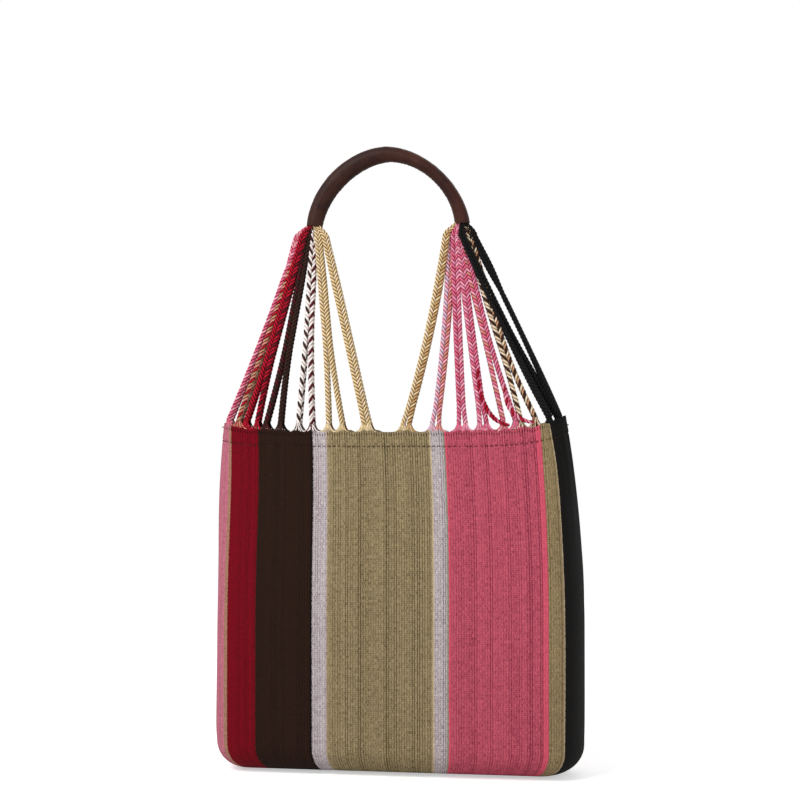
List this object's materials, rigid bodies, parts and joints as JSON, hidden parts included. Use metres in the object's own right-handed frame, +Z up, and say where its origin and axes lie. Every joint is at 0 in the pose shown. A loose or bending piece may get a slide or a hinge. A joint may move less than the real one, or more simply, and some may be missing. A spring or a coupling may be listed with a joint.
{
  "type": "hammock bag",
  "caption": "Carried tote made like a hammock: striped woven cotton pouch hung on fans of twisted cord pairs from the two ends of a short arched leather-covered handle",
  "frame": {"origin": "hanging point, on the underside of the handle's crown", "axes": "+Z up, +X to the right seen from the front, front of the bag towards -Y"},
  "size_m": [0.3825, 0.106, 0.646],
  "materials": {
    "leather": "waxed, worn satin",
    "rope": "matt laid cotton",
    "thread": "waxed thread",
    "pink": "matt twisted cotton",
    "tan": "matt twisted cotton",
    "crimson": "matt twisted cotton",
    "brown": "matt twisted cotton",
    "brown_white": "matt twisted cotton, brown and white strands",
    "khaki": "matt twisted cotton",
    "lilac": "matt twisted cotton",
    "khaki_brown": "matt twisted cotton, cream and brown strands",
    "black": "matt twisted cotton",
    "cloth": "matt warp-faced cotton in vertical stripes"
  },
  "bodies": {
    "handle": {"handle_leather_cover": "leather", "handle_rope_core": "rope", "handle_seam_thread": "thread", "core_whipping_left": "thread", "core_whipping_right": "thread", "cord_eye_left": "rope", "cord_eye_right": "rope"},
    "bag": {"cord_gather_left": "rope", "cord_gather_right": "rope", "pouch_cloth": "cloth", "hem_facing_front": "cloth", "hem_facing_back": "cloth", "hem_stitch_front": "thread", "hem_stitch_back": "thread", "side_seam_left": "cloth", "side_seam_right": "cloth", "front_cord_01_pink": "pink", "front_cord_02_tan": "tan", "front_cord_03_crimson": "crimson", "front_cord_04_brown": "brown", "front_cord_05_brown_white": "brown_white", "front_cord_06_khaki": "khaki", "front_cord_07_khaki": "khaki", "front_cord_08_khaki": "khaki", "front_cord_09_lilac": "lilac", "front_cord_10_pink": "pink", "front_cord_11_pink": "pink", "front_cord_12_pink": "pink", "front_cord_13_khaki_brown": "khaki_brown", "front_cord_14_black": "black", "front_cord_15_black": "black", "back_cord_01_pink": "pink", "back_cord_02_tan": "tan", "back_cord_03_crimson": "crimson", "back_cord_04_brown": "brown", "back_cord_05_brown_white": "brown_white", "back_cord_06_khaki": "khaki", "back_cord_07_khaki": "khaki", "back_cord_08_khaki": "khaki", "back_cord_09_lilac": "lilac", "back_cord_10_pink": "pink", "back_cord_11_pink": "pink", "back_cord_12_pink": "pink", "back_cord_13_khaki_brown": "khaki_brown", "back_cord_14_black": "black", "back_cord_15_black": "black"}
  },
  "joints": [
    {"name": "bag_swing", "type": "hinge", "parent": "handle", "child": "bag", "pos_m": [0, 0, -0.07536], "axis": [1, 0, 0], "range_deg": [-90, 90]}
  ]
}
